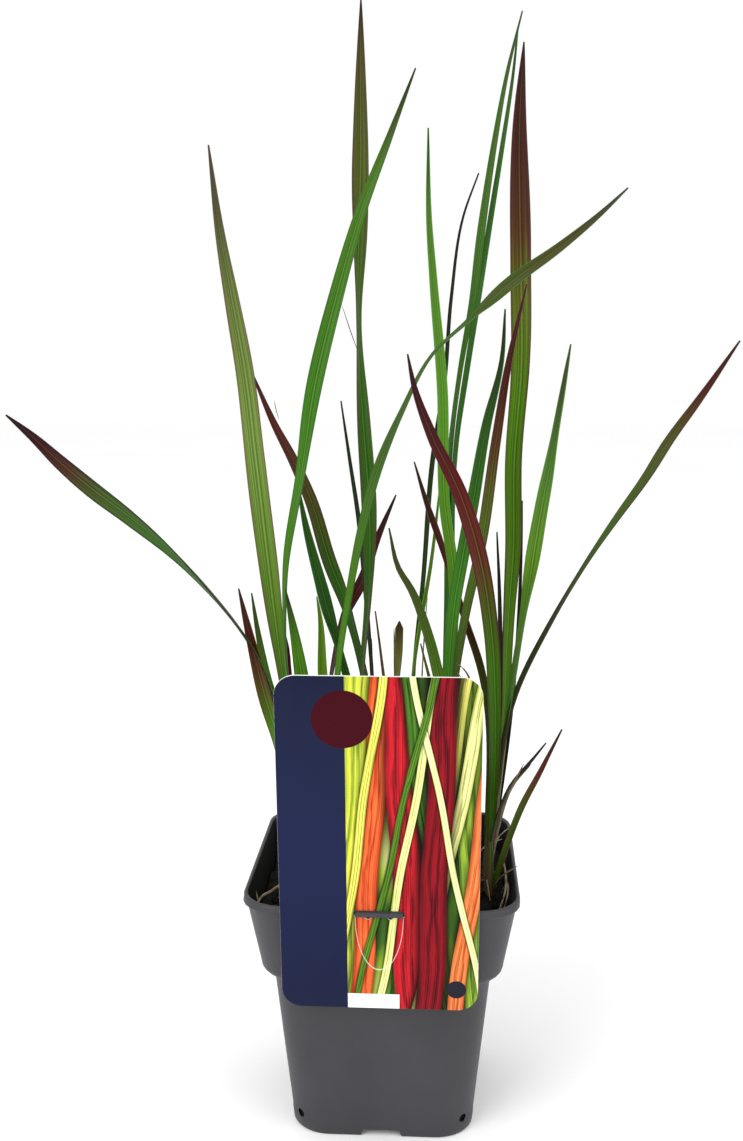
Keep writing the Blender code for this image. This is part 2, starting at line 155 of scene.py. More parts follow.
# Streaks and veins by their number across and along a leaf. A leaf 5 mm wide has veins
# about 0.15 mm apart.
LEAF_STREAKS = (9, 2.2, 1)
LEAF_VEINS = (34, 0.7, 1)

# Kinds of shader node.
MATH = "ShaderNodeMath"
MIX = "ShaderNodeMix"
RAMP = "ShaderNodeValToRGB"
NOISE = "ShaderNodeTexNoise"
PARTS = "ShaderNodeSeparateXYZ"
STRETCH = "ShaderNodeMapping"
COORDS = "ShaderNodeTexCoord"
UV_MAP = "ShaderNodeUVMap"
BUMP = "ShaderNodeBump"

# Leaf colours, as seen in even light.
DEEP = "2c5a12"
GREEN = "497c1c"
FRESH = "5a9a1c"
BRIGHT = "74ab2c"
LIME = "88ba2c"
OLIVE = "5c6024"
BROWN = "5a3a20"
RUST = "743626"
MAROON = "5e1a16"
WINE = "441018"
DARK = "1c0e12"
GREY = "4a4648"
STRAW = "9a8658"

# Each shoot: its foot and its leaves. A leaf is its full width, how far up it is widest,
# the points it passes through (x, y, z and turn in degrees), the colour of its margins
# and its colours by share of its length.
SHOOTS = {
    "shoot_left": ((-31, -14), [
        (5.7, 0.80, [(-44, -19, 167, 80), (-58, -20, 186, 70), (-68, -21, 197, 60),
                     (-82.3, -22, 209.4, 35), (-93, -23, 218, 15), (-103, -24, 227, 0),
                     (-111, -25, 235, 0), (-119, -26, 242, 0)],
         DARK, [(0, GREEN), (0.5, "557f42"), (0.7, "4c8030"), (0.8, "4f6b2a"),
                (0.87, "5a3428"), (0.93, WINE), (1, DARK)]),
        (4.5, 0.6, [(-35.6, -17, 134, 40), (-40.2, -18, 153, 0), (-44.2, -19, 172, 0),
                    (-47, -20, 186, 0)],
         BROWN, [(0, GREEN), (0.55, FRESH), (0.72, "6d4a28"), (0.85, MAROON), (1, DARK)]),
        (3.1, 0.6, [(-33, -13, 135, -30), (-38, -13, 150, 0), (-42, -12, 169, 0),
                    (-44, -12, 183, 0)],
         DEEP, [(0, GREEN), (0.7, FRESH), (1, "4a3a22")]),
    ]),
    "shoot_tall_left": ((-27, 6), [
        (6.8, 0.58, [(-35.5, 2, 151, -50), (-38.5, 0, 178, -25), (-43.5, -4, 227, 15),
                     (-46, -7, 256, 5), (-49.3, -9, 278, 0), (-52.5, -11, 299, 0),
                     (-55, -14, 325, 0)],
         "5d4a34", [(0, GREEN), (0.3, BRIGHT), (0.65, "88a850"), (0.8, "7a9048"),
                    (0.92, "5c5c3c"), (1, GREY)]),
        (2.5, 0.7, [(-34, 4, 151, 0), (-35, 4, 164, 0), (-37, 4, 170, 0)],
         WINE, [(0, BROWN), (0.7, MAROON), (1, WINE)]),
    ]),
    "shoot_upright": ((-22, -8), [
        (5.3, 0.62, [(-34, -7, 172, 75), (-33, -7, 193, 65), (-28.4, -6, 221, 50),
                     (-23.5, -6, 250, 10), (-16.5, -5, 278, 0), (-8.7, -5, 304, 0),
                     (1.1, -4, 329, 0), (9, -4, 349, 0)],
         DEEP, [(0, GREEN), (0.3, FRESH), (0.6, "4c9222"), (0.88, "568a26"),
                (0.95, "48501f"), (1, DARK)]),
        (5.5, 0.55, [(-28, -9, 154, 0), (-30, -10, 168, 0), (-33, -10, 184, 0)],
         DEEP, [(0, GREEN), (0.8, FRESH), (1, DARK)]),
    ]),
    "shoot_dark_short": ((-14, 20), [
        (3.8, 0.6, [(-24, 23, 147, 0), (-25, 24, 169, 0), (-26, 24, 175, 0)],
         FRESH, [(0, FRESH), (1, LIME)]),
        (4.6, 0.6, [(-20.5, 25, 150, 70), (-15, 28, 170.5, 40), (-10.3, 29, 179.5, 0),
                    (-4.6, 30, 195.5, 0), (2, 31, 211, 0)],
         DARK, [(0, "45301c"), (0.6, "641c1e"), (0.85, MAROON), (1, DARK)]),
    ]),
    "shoot_arching": ((-12, -18), [
        (4.2, 0.76, [(-15, -20, 158, 50), (-11, -21, 185, 55), (-7, -22, 206, 50),
                    (-2, -24, 225, 45), (6, -25, 244, 65), (15, -27, 261, 80),
                    (27, -28, 272, 70), (39, -30, 282.6, 0), (52.5, -31, 292.2, 0),
                    (64, -33, 301.5, 0), (72, -34, 309, 0)],
         DEEP, [(0, GREEN), (0.35, FRESH), (0.6, "4b702c"), (0.8, "56682a"),
                (0.93, "584e26"), (1, GREY)]),
    ]),
    "shoot_slanting": ((-3, 14), [
        (5.0, 0.6, [(-9, 20, 148, 50), (-15.3, 22, 172, 45), (-21.4, 24, 188, 0),
                    (-28.4, 27, 210, 0), (-34.8, 29, 224, 0), (-41.4, 31, 236, 0),
                    (-50, 34, 255, 0)],
         "402418", [(0, DEEP), (0.55, "3f7d1f"), (0.7, "5c6422"), (0.8, "64382a"),
                    (0.9, MAROON), (1, WINE)]),
        (4.9, 0.6, [(-15, 17, 148, -60), (-18, 18, 159, -60), (-24, 20, 180, 0),
                    (-30, 21, 204, 0), (-32, 22, 215, 0)],
         DEEP, [(0, DEEP), (0.8, "2f6a1c"), (1, DEEP)]),
    ]),
    "shoot_centre": ((-5, -3), [
        (5.9, 0.76, [(-8, -1, 158, 70), (-6.3, -1, 179, 55), (-5.8, 0, 209, 0),
                     (-7.6, 2, 238, -35), (-9.3, 4, 274, -80), (-9, 5, 301, -40),
                     (-9, 7, 325, 0), (-9, 8, 349, 0), (-9, 10, 373, 0)],
         "4c2c2c", [(0, DEEP), (0.5, "387010"), (0.68, "4c801a"), (0.8, "627226"),
                    (0.95, "544c1c"), (1, DARK)]),
        (1.8, 0.6, [(-5, 2, 152, 50), (-7, 5, 176, 40), (-9.8, 9, 204, 0),
                    (-13, 12, 224, 0), (-16.2, 14, 245, 0)],
         DARK, [(0, DEEP), (1, "20301a")]),
    ]),
    "shoot_dry_stub": ((6, 22), [
        (1.3, 0.5, [(-2, 23, 147, 0), (-5, 24, 170, 0)],
         BROWN, [(0, STRAW), (1, "6a5436")]),
        (2.9, 0.97, [(3, 25, 146, 60), (3.4, 26, 158, 0), (3.6, 26, 166, 0)],
         "5c6a2a", [(0, "8a9a44"), (0.85, "96984c"), (0.96, "6a5430"), (1, "4a3420")]),
    ]),
    "shoot_thin": ((12, 14), [
        (1.7, 0.5, [(9, 17, 149, 50), (12, 19, 182, 35), (15, 23, 224, 0),
                    (19, 26, 252, 0), (21, 29, 280, 0), (25, 32, 308, 0),
                    (30, 34, 322, 0)],
         "1c1418", [(0, "3f6424"), (0.6, "2c4a16"), (0.78, "26301a"), (1, "1c1418")]),
        (1.5, 0.6, [(9, 16, 150, -45), (15, 17, 190, 0), (18, 18, 218, 0)],
         FRESH, [(0, "6a8f30"), (1, "8aa83c")]),
    ]),
    "shoot_frayed": ((22, -16), [
        (3.7, 0.55, [(17.8, -22, 159, 0), (14.5, -23, 172, 0), (9, -24, 187, 0),
                     (5, -25, 194, 0), (2, -26, 207, 0)],
         DEEP, [(0, GREEN), (0.55, "5c8a20"), (0.75, "4e6a1c"), (0.9, "4c4a20"),
                (1, "3c2c20")]),
        (1.8, 0.5, [(16, -18, 152, 0), (12, -18, 168, 0)],
         OLIVE, [(0, FRESH), (1, OLIVE)]),
    ]),
    "shoot_bright": ((21, 3), [
        (4.3, 0.6, [(21, 0, 153, 35), (23, -2, 179, 10), (25.4, -2, 194, 10),
                    (29, -4, 215, 0), (32.9, -5, 239, 0), (37.2, -7, 259, 35),
                    (38, -8, 275, 0)],
         DEEP, [(0, FRESH), (0.5, "52a02c"), (0.72, "37751f"), (0.9, "2a4418"),
                (1, "1c1a14")]),
        (3.6, 0.6, [(22.7, 3, 166, 20), (22.3, 3, 190, 10), (19.6, 3, 209, 0),
                    (18.2, 2, 250, 0), (15, 2, 285, 0), (13.5, 2, 303, 0),
                    (13, 2, 332, 0)],
         "4a8a24", [(0, LIME), (0.6, "6cb02e"), (0.9, "5a8a2c"), (1, DARK)]),
        (3.9, 0.45, [(21, 12, 171, -40), (21.4, 17, 232, -65), (24.4, 19, 256, -60),
                     (28.3, 21, 279, -45), (31.3, 24, 305.4, 0), (35.1, 27, 331.8, 0),
                     (39.2, 30, 354.8, 0), (43.8, 32, 374, 0)],
         DEEP, [(0, GREEN), (0.5, "4c8a2a"), (0.9, "56802c"), (1, "3a3a2c")]),
        (1.9, 0.75, [(22.5, 13, 171, -40), (23.4, 18.5, 232, -30), (26.6, 20.5, 256, 0),
                     (30.4, 22.5, 281, 0), (34, 26, 305.6, 0), (38, 29, 332.1, 0),
                     (41.2, 32, 355.2, 0), (42.5, 34, 369, 0)],
         DEEP, [(0, GREEN), (0.5, "3f822a"), (0.9, "4a8430"), (1, "3a4a2c")]),
    ]),
    "shoot_maroon": ((27, -6), [
        (3.6, 0.62, [(23.8, -5, 155, 60), (26.6, -4, 175, 40), (31.2, -4, 197, 25),
                     (36, -3, 233, 0), (39.3, -3, 256, 0), (45, -2, 283, 0)],
         "4a2a1e", [(0, "2c3a18"), (0.35, "47741f"), (0.6, "668429"), (0.74, "643e1e"),
                    (0.86, MAROON), (1, WINE)]),
    ]),
    "shoot_right": ((36, 8), [
        (5.4, 0.62, [(37, -2, 145, 15), (35, -9, 171, 20), (31, -16, 195, 15),
                     (24, -23, 218, 0), (15, -31, 237, 0), (10, -36, 251, 0),
                     (8, -40, 261, 0)],
         WINE, [(0, GREEN), (0.42, "4f8a1c"), (0.53, "5c6a20"), (0.62, RUST),
                (0.75, "6c1c18"), (0.92, WINE), (1, DARK)]),
        (3.0, 0.7, [(32, 8, 155, 35), (27, 7, 170, 45), (19, 7, 195, 45),
                    (13, 7, 212, 0), (9, 7, 225, 0)],
         BROWN, [(0, "4a7a1c"), (0.42, "4c6a1e"), (0.58, "5a3820"), (0.75, MAROON),
                 (1, DARK)]),
        (6.9, 0.78, [(41, 10, 142, -30), (42, 11, 173, -25), (43, 12, 194, 0),
                     (42.6, 14, 225, 25), (44.4, 15, 256, 30), (44, 17, 292, 0),
                     (43, 20, 339, 0), (44, 22, 362, 0)],
         "44201c", [(0, GREEN), (0.3, "5c8f10"), (0.58, "629a14"), (0.7, "6c7c1c"),
                    (0.78, "5e3616"), (0.88, "4c1a0e"), (0.96, "40160a"), (1, DARK)]),
        (1.3, 0.6, [(44, 12, 145, 35), (46, 15, 191, 0), (46, 16, 211, 0)],
         DARK, [(0, "2a3420"), (1, "1c1418")]),
        (1.8, 0.5, [(39, 5, 147, 10), (38, 3, 185, 0), (37, 2, 202, 0)],
         DARK, [(0, "3a4a20"), (1, "1c1418")]),
        (4.9, 0.6, [(43.4, 3, 153, 75), (46.2, 1, 175, 65), (50.6, -2, 206, 0),
                    (55, -5, 236, 45), (59, -8, 264, 0)],
         GREEN, [(0, "5a6a30"), (0.35, "63a030"), (0.6, BRIGHT), (0.8, "588c38"),
                 (0.92, "4a5a34"), (1, GREY)]),
        (3.1, 0.78, [(46, 0, 152, 65), (54, -3, 170.4, 70), (64, -6.5, 190, 72),
                     (74.5, -9.5, 207.8, 60), (83, -12.5, 221.5, 40), (90.3, -15, 234.6, 0),
                     (98.2, -17.8, 247, 0), (109, -22, 265, 0)],
         "40301e", [(0, "4a5a34"), (0.5, "38482a"), (0.65, "4f7a2a"), (0.82, "5a5e2a"),
                    (0.91, MAROON), (1, WINE)]),
    ]),
    "shoot_small_right": ((36, -8), [
        (2.1, 0.5, [(41, -12, 96, 15), (46, -15, 112, 15), (52, -18, 126, 0),
                    (58, -22, 141, 0)],
         MAROON, [(0, GREEN), (0.5, "5a7a2c"), (0.7, RUST), (1, DARK)]),
        (1.7, 0.5, [(40, -3, 108, -35), (43, -1, 114, 0), (51, 1, 124, 0),
                    (55, 2, 129, 0)],
         DARK, [(0, "6a5a3a"), (0.6, "4c4434"), (1, "2c241c")]),
    ]),
}


def linear(hex_colour):
    """The linear colour of an sRGB hex value."""
    values = []
    for k in (0, 2, 4):
        part = int(hex_colour[k:k + 2], 16) / 255
        values.append(part / 12.92 if part <= 0.04045 else ((part + 0.055) / 1.055) ** 2.4)
    return (*values, 1.0)


def wire(tree, made, inputs):
    """Sets or links a node's inputs, each by its name or number."""
    for key, value in inputs.items():
        if isinstance(value, bpy.types.NodeSocket):
            tree.links.new(value, made.inputs[key])
        else:
            made.inputs[key].default_value = value


def node(tree, kind, inputs, out=0, stops=(), **settings):
    """Adds a node with its settings, inputs and colour stops, and gives one of its outputs."""
    made = tree.nodes.new(kind)
    for key, value in settings.items():
        setattr(made, key, value)
    wire(tree, made, inputs)
    if stops:
        elements = made.color_ramp.elements
        elements[0].position, elements[0].color = stops[0][0], linear(stops[0][1])
        elements[1].position, elements[1].color = stops[-1][0], linear(stops[-1][1])
        for share, colour in stops[1:-1]:
            elements.new(share).color = linear(colour)
    return made.outputs[out]


def new_material(name, build):
    """A material whose Principled shader takes what build(tree) gives for its inputs."""
    finish = bpy.data.materials.new(name)
    finish.use_nodes = True
    tree = finish.node_tree
    wire(tree, tree.nodes["Principled BSDF"], build(tree))
    return finish


def cells(*sizes):
    """How many cells of each size in millimetres go to a metre."""
    return tuple(1 / (size * MM) for size in sizes)


def leaf_material(name, margin, colours):
    """Living grass leaf: waxy skin over long parallel veins, so a satin with fine ribs."""
    def build(tree):
        uv = node(tree, UV_MAP, {}, uv_map="UVMap")
        across = node(tree, PARTS, {0: uv}, "X")
        along = node(tree, PARTS, {0: uv}, "Y")
        spread = node(tree, STRETCH, {"Vector": uv, "Scale": LEAF_STREAKS})
        streaks = node(tree, NOISE, {"Vector": spread, "Scale": 1.0, "Detail": 3.0,
                                     "Roughness": 0.6})
        uneven = node(tree, MATH, {0: streaks, 1: 0.5}, operation="SUBTRACT")
        share = node(tree, MATH, {0: uneven, 1: 0.16, 2: along}, operation="MULTIPLY_ADD")
        base = node(tree, RAMP, {0: share}, stops=colours)
        lines = node(tree, STRETCH, {"Vector": uv, "Scale": LEAF_VEINS})
        veins = node(tree, NOISE, {"Vector": lines, "Scale": 1.0, "Detail": 2.0})
        tone = node(tree, RAMP, {0: veins},
                    stops=[(0.3, "5a624c"), (0.5, "b8b8ae"), (0.7, "f0f0e6")])
        veined = node(tree, MIX, {0: 1.0, 6: base, 7: tone}, 2,
                      data_type="RGBA", blend_type="MULTIPLY")
        side = node(tree, MATH, {0: across, 1: 0.5}, operation="SUBTRACT")
        off_middle = node(tree, MATH, {0: side}, operation="ABSOLUTE")
        edge = node(tree, RAMP, {0: off_middle},
                    stops=[(0.34, "000000"), (0.46, "a8a8a8"), (0.5, "ffffff")])
        edged = node(tree, MIX, {0: edge, 6: veined, 7: linear(margin)}, 2, data_type="RGBA")
        rib = node(tree, RAMP, {0: off_middle}, stops=[(0.012, "5c5c5c"), (0.05, "000000")])
        pale = node(tree, MIX, {0: 0.5, 6: veined, 7: linear("b9cf7a")}, 2, data_type="RGBA")
        ribbed = node(tree, MIX, {0: rib, 6: edged, 7: pale}, 2, data_type="RGBA")
        relief = node(tree, BUMP, {"Strength": 0.35, "Distance": 0.2 * MM, "Height": veins})
        rough = node(tree, MATH, {0: veins, 1: 0.25, 2: 0.3}, operation="MULTIPLY_ADD")
        return {"Base Color": ribbed, "Roughness": rough, "Normal": relief, "IOR": 1.42,
                "Specular IOR Level": 0.14}

    return new_material(name, build)


def pot_material(name, dark, light, gleam):
    """Recycled polypropylene, injection moulded: dull, with a fine spark-eroded grain."""
    def build(tree):
        spot = node(tree, COORDS, {}, "Object")
        cloud = node(tree, NOISE, {"Vector": spot, "Scale": 1 / (MOULD_CLOUD * MM),
                                   "Detail": 4.0})
        fine = node(tree, NOISE, {"Vector": spot, "Scale": 1 / (MOULD_GRAIN * MM),
                                  "Detail": 2.0})
        colour = node(tree, RAMP, {0: cloud}, stops=[(0.3, dark), (0.7, light)])
        rough = node(tree, MATH, {0: fine, 1: 0.2, 2: 0.38}, operation="MULTIPLY_ADD")
        relief = node(tree, BUMP, {"Strength": 0.25, "Distance": 0.08 * MM, "Height": fine})
        return {"Base Color": colour, "Roughness": rough, "Normal": relief, "IOR": 1.49,
                "Specular IOR Level": gleam}

    return new_material(name, build)


def peat_material():
    """Damp potting peat: near-black crumbs with brown fibre."""
    def build(tree):
        spot = node(tree, COORDS, {}, "Object")
        crumbs = node(tree, NOISE, {"Vector": spot, "Scale": 1 / (PEAT_CRUMB * MM),
                                    "Detail": 6.0, "Roughness": 0.7})
        colour = node(tree, RAMP, {0: crumbs}, stops=[
            (0.3, "040302"), (0.5, "0b0705"), (0.62, "1a110a"), (0.75, "382618")])
        relief = node(tree, BUMP, {"Strength": 0.9, "Distance": 0.8 * MM, "Height": crumbs})
        return {"Base Color": colour, "Roughness": 0.9, "Normal": relief, "IOR": 1.5,
                "Specular IOR Level": 0.15}

    return new_material("potting_peat", build)


def straw_material(name, dark, light):
    """Dry plant fibre, weathered: dull, in uneven light and dark."""
    def build(tree):
        spot = node(tree, COORDS, {}, "Object")
        uneven = node(tree, NOISE, {"Vector": spot, "Scale": 1 / (FIBRE_PATCH * MM),
                                    "Detail": 3.0})
        colour = node(tree, RAMP, {0: uneven}, stops=[(0.3, dark), (0.7, light)])
        return {"Base Color": colour, "Roughness": 0.75, "IOR": 1.5}

    return new_material(name, build)


def disc_mask(tree, x, z, centre, radius):
    """1 inside a circle on the card, with an edge 0.1 mm soft."""
    dx = node(tree, MATH, {0: x, 1: centre[0] * MM}, operation="SUBTRACT")
    dz = node(tree, MATH, {0: z, 1: centre[1] * MM}, operation="SUBTRACT")
    square = node(tree, MATH, {0: dx, 1: dx}, operation="MULTIPLY")
    squares = node(tree, MATH, {0: dz, 1: dz, 2: square}, operation="MULTIPLY_ADD")
    far = node(tree, MATH, {0: squares}, operation="SQRT")
    inside = node(tree, MATH, {0: radius * MM, 1: far}, operation="SUBTRACT")
    return node(tree, MATH, {0: inside, 1: 0.1 * MM}, operation="DIVIDE", use_clamp=True)


def band_mask(tree, value, low, high):
    """1 where value lies between low and high, given in millimetres."""
    return node(tree, MATH, {0: value, 1: (low + high) / 2 * MM, 2: (high - low) / 2 * MM},
                operation="COMPARE")


# Ribbons of the printed picture, back to front: where each crosses the card's middle
# height, its lean, its half width in millimetres, and its edge and middle colours.
RIBBONS = [
    (-6.5, 0.06, 4.2, "4c7a1e", "d4d646"), (27.0, -0.06, 4.6, "2a5418", "9cba3a"),
    (19.5, 0.15, 3.2, "66761e", "eee676"), (10.5, 0.12, 4.2, "1e4016", "6a962a"),
    (-0.5, 0.08, 3.3, "a02414", "f07038"), (6.0, -0.05, 4.6, "5c0a12", "c8202a"),
    (24.5, 0.19, 2.0, "7c8c24", "f6f2a4"), (13.5, -0.13, 2.3, "16300f", "4a7820"),
    (20.0, 0.05, 4.3, "34050e", "90121e"), (29.0, 0.11, 2.6, "9c3418", "f08c4c"),
    (10.5, 0.17, 1.2, "98aa2c", "faf6b4"), (-8.6, 0.13, 1.3, "7c8c24", "f4ec6c"),
    (24.0, -0.19, 1.0, "a8b83c", "fbf8cc"), (2.5, 0.21, 1.0, "20380f", "5c8c24"),
]


def label_picture(tree, spot, x, z):
    """Crossing ribbons over soft patches, streaked along their length."""
    wide = node(tree, STRETCH, {"Vector": spot, "Scale": cells(*PRINT_BLUR)})
    blur = node(tree, NOISE, {"Vector": wide, "Scale": 1.0, "Detail": 0.5})
    picture = node(tree, RAMP, {0: blur}, stops=[
        (0.3, "1c2a16"), (0.42, "3f6a20"), (0.52, "a9c83a"), (0.62, "f0ee9a"),
        (0.74, "fbfae2")])
    slow = node(tree, STRETCH, {"Vector": spot, "Scale": cells(*PRINT_SWAY)})
    sway = node(tree, NOISE, {"Vector": slow, "Scale": 1.0, "Detail": 0.0})
    long = node(tree, STRETCH, {"Vector": spot, "Scale": cells(*PRINT_PATCH)})
    patch = node(tree, NOISE, {"Vector": long, "Scale": 1.0, "Detail": 2.0})
    rise = node(tree, MATH, {0: z, 1: (LABEL_TOP + LABEL_BOTTOM) / 2 * MM},
                operation="SUBTRACT")
    for number, (middle, lean, half, edge, light) in enumerate(RIBBONS):
        bow = (-1) ** number * RIBBON_BOW * MM
        centre = node(tree, MATH, {0: rise, 1: lean, 2: middle * MM}, operation="MULTIPLY_ADD")
        across = node(tree, MATH, {0: x, 1: centre}, operation="SUBTRACT")
        bent = node(tree, MATH, {0: sway, 1: bow, 2: across}, operation="MULTIPLY_ADD")
        far = node(tree, MATH, {0: bent}, operation="ABSOLUTE")
        off = node(tree, MATH, {0: far, 1: half * MM}, operation="DIVIDE")
        apart = node(tree, MATH, {0: bent, 1: number * 0.1}, operation="ADD")
        streak = node(tree, NOISE, {"W": apart, "Scale": 1 / (PRINT_STREAK * MM),
                                    "Detail": 2.0}, noise_dimensions="1D")
        fleck = node(tree, MATH, {0: streak, 1: 0.7, 2: off}, operation="MULTIPLY_ADD")
        fleck = node(tree, MATH, {0: fleck, 1: patch}, operation="ADD")
        fleck = node(tree, MATH, {0: fleck, 1: 0.4}, operation="MULTIPLY")
        colour = node(tree, RAMP, {0: fleck},
                      stops=[(0.33, light), (0.46, edge), (0.52, light), (0.78, edge)])
        beside = node(tree, MATH, {0: off, 1: 0.5}, operation="MULTIPLY")
        shade = node(tree, RAMP, {0: beside}, stops=[(0.5, "6c6c64"), (0.85, "ffffff")])
        picture = node(tree, MIX, {0: 1.0, 6: picture, 7: shade}, 2,
                       data_type="RGBA", blend_type="MULTIPLY")
        inside = node(tree, MATH, {0: off, 1: 1.0}, operation="LESS_THAN")
        picture = node(tree, MIX, {0: inside, 6: picture, 7: colour}, 2, data_type="RGBA")
    return picture


def tongue_mask(tree, x, z):
    """1 on the pressed line of the tongue: the lower half of an oval under the slot."""
    below = node(tree, MATH, {0: z, 1: (LUG_Z - TONGUE_DROP) * MM}, operation="SUBTRACT")
    u = node(tree, MATH, {0: x, 1: TONGUE_HALF * MM}, operation="DIVIDE")
    v = node(tree, MATH, {0: below, 1: TONGUE_DEPTH * MM}, operation="DIVIDE")
    square = node(tree, MATH, {0: u, 1: u}, operation="MULTIPLY")
    squares = node(tree, MATH, {0: v, 1: v, 2: square}, operation="MULTIPLY_ADD")
    ring = node(tree, MATH, {0: squares}, operation="SQRT")
    line = node(tree, MATH, {0: ring, 1: 1.0, 2: TONGUE_LINE}, operation="COMPARE")
    lower = node(tree, MATH, {0: v, 1: 0.0}, operation="LESS_THAN")
    return node(tree, MATH, {0: line, 1: lower}, operation="MULTIPLY")


def label_material():
    """Coated card, offset printed: smooth front with a blue field and a field of ribbons."""
    def build(tree):
        spot = node(tree, COORDS, {}, "Object")
        x = node(tree, PARTS, {0: spot}, "X")
        z = node(tree, PARTS, {0: spot}, "Z")
        facing = node(tree, "ShaderNodeNewGeometry", {}, "Normal")
        forward = node(tree, PARTS, {0: facing}, "Y")
        front = node(tree, MATH, {0: forward, 1: -0.8}, operation="LESS_THAN")

        picture = label_picture(tree, spot, x, z)
        field = node(tree, RAMP, {0: z},
                     stops=[(0.05, "141a38"), (0.11, "192042"), (0.17, "141932")])
        split = node(tree, MATH, {0: x, 1: PRINT_SPLIT * MM}, operation="GREATER_THAN")
        ink = node(tree, MIX, {0: split, 6: field, 7: picture}, 2, data_type="RGBA")
        strip_x = band_mask(tree, x, PRINT_SPLIT, STRIP_RIGHT)
        strip_z = band_mask(tree, z, LABEL_BOTTOM - 1, STRIP_TOP)
        strip = node(tree, MATH, {0: strip_x, 1: strip_z}, operation="MULTIPLY")
        tongue = node(tree, MATH, {0: tongue_mask(tree, x, z), 1: 0.5}, operation="MULTIPLY")
        for mask, colour in ((disc_mask(tree, x, z, DISC_CENTRE, DISC_RADIUS), "3a000e"),
                             (strip, "f2f2f0"),
                             (disc_mask(tree, x, z, SPOT_CENTRE, SPOT_RADIUS), "20202a"),
                             (tongue, "efefe8")):
            ink = node(tree, MIX, {0: mask, 6: ink, 7: linear(colour)}, 2, data_type="RGBA")
        colour = node(tree, MIX, {0: front, 6: linear("efeee9"), 7: ink}, 2, data_type="RGBA")
        ripple = node(tree, NOISE, {"Vector": spot, "Scale": 1 / (CARD_RIPPLE * MM),
                                    "Detail": 1.0})
        relief = node(tree, BUMP, {"Strength": 0.15, "Distance": 0.6 * MM, "Height": ripple})
        return {"Base Color": colour, "Roughness": 0.22, "Normal": relief, "IOR": 1.5,
                "Specular IOR Level": 0.06, "Coat Weight": 0.05, "Coat Roughness": 0.12}

    return new_material("coated_card", build)


def floor_material():
    """Matt white studio paint, rolled: nearly even."""
    def build(tree):
        spot = node(tree, COORDS, {}, "Object")
        cloud = node(tree, NOISE, {"Vector": spot, "Scale": 1 / (FLOOR_CLOUD * MM)})
        colour = node(tree, RAMP, {0: cloud}, stops=[(0.2, "fcfcfc"), (0.8, "ffffff")])
        return {"Base Color": colour, "Roughness": 0.85, "IOR": 1.5}

    return new_material("pale_floor_paint", build)


def take(obj):
    """Makes obj the only selected and active object."""
    bpy.ops.object.select_all(action="DESELECT")
    obj.select_set(True)
    bpy.context.view_layer.objects.active = obj


def apply_all(obj):
    """Applies the object's modifiers in their order."""
    take(obj)
    for modifier in list(obj.modifiers):
        bpy.ops.object.modifier_apply(modifier=modifier.name)


def shaped_grid(name, across, along, where):
    """A grid whose points are moved to where(u, v), with its own UV map."""
    bpy.ops.object.select_all(action="DESELECT")
    bpy.ops.mesh.primitive_grid_add(x_subdivisions=across, y_subdivisions=along, size=1.0)
    piece = bpy.context.object
    piece.name = piece.data.name = name
    for vertex in piece.data.vertices:
        vertex.co = where(vertex.co.x + 0.5, vertex.co.y + 0.5) * MM
    return piece


def join(pieces, name):
    """One piece made of several, under a new name."""
    bpy.ops.object.select_all(action="DESELECT")
    for piece in pieces:
        piece.select_set(True)
    bpy.context.view_layer.objects.active = pieces[0]
    bpy.ops.object.join()
    pieces[0].name = pieces[0].data.name = name
    return pieces[0]


def outward(piece, doubles=0.00001):
    """Merges doubles and turns every face outwards."""
    take(piece)
    bpy.ops.object.mode_set(mode="EDIT")
    bpy.ops.mesh.select_all(action="SELECT")
    bpy.ops.mesh.remove_doubles(threshold=doubles)
    bpy.ops.mesh.normals_make_consistent(inside=False)
    bpy.ops.object.mode_set(mode="OBJECT")


def close_ends(piece, in_triangles):
    """Fills the open ends of a piece, each with triangles or with one face."""
    take(piece)
    bpy.ops.object.mode_set(mode="EDIT")
    bpy.ops.mesh.select_all(action="DESELECT")
    bpy.ops.mesh.select_non_manifold()
    if in_triangles:
        bpy.ops.mesh.fill()
    else:
        bpy.ops.mesh.edge_face_add()
    bpy.ops.object.mode_set(mode="OBJECT")


def smooth(piece, degrees):
    """Smooth shading over every edge that turns less than the angle."""
    take(piece)
    bpy.ops.object.shade_smooth_by_angle(angle=math.radians(degrees))


def ready(piece, cad_node, *finishes):
    """Gives a finished piece its materials and its body; cad_node, the node it stands for, is
    not used.
    """
    for finish in finishes:
        piece.data.materials.append(finish)
    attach(piece, "root")
    return piece


def smooth_route(points, step):
    """Points of a smooth curve through the given ones, each x, y, z and turn."""
    chords = [(b.xyz - a.xyz).length for a, b in zip(points, points[1:])]
    slopes = [(b - a) / d for a, b, d in zip(points, points[1:], chords)]
    tangents = [slopes[0]]
    for k in range(1, len(points) - 1):
        before, after = chords[k - 1], chords[k]
        tangents.append((slopes[k - 1] * after + slopes[k] * before) / (before + after))
    tangents.append(slopes[-1])
    route = []
    for k, chord in enumerate(chords):
        count = max(1, round(chord / step))
        for j in range(count):
            t = j / count
            route.append(points[k] * (2 * t**3 - 3 * t**2 + 1)
                         + tangents[k] * chord * (t**3 - 2 * t**2 + t)
                         + points[k + 1] * (3 * t**2 - 2 * t**3)
                         + tangents[k + 1] * chord * (t**3 - t**2))
    route.append(points[-1])
    return route


def leaf_width(share, width, widest):
    """The full width at a share of the leaf's length."""
    if share < widest:
        foot = min(1.0, LEAF_FOOT_WIDTH / width)
        return width * (foot + (1 - foot) * math.sin(math.pi / 2 * share / widest) ** 1.3)
    past = (share - widest) / (1 - widest)
    return LEAF_TIP_WIDTH + (width - LEAF_TIP_WIDTH) * (1 - past**1.8)


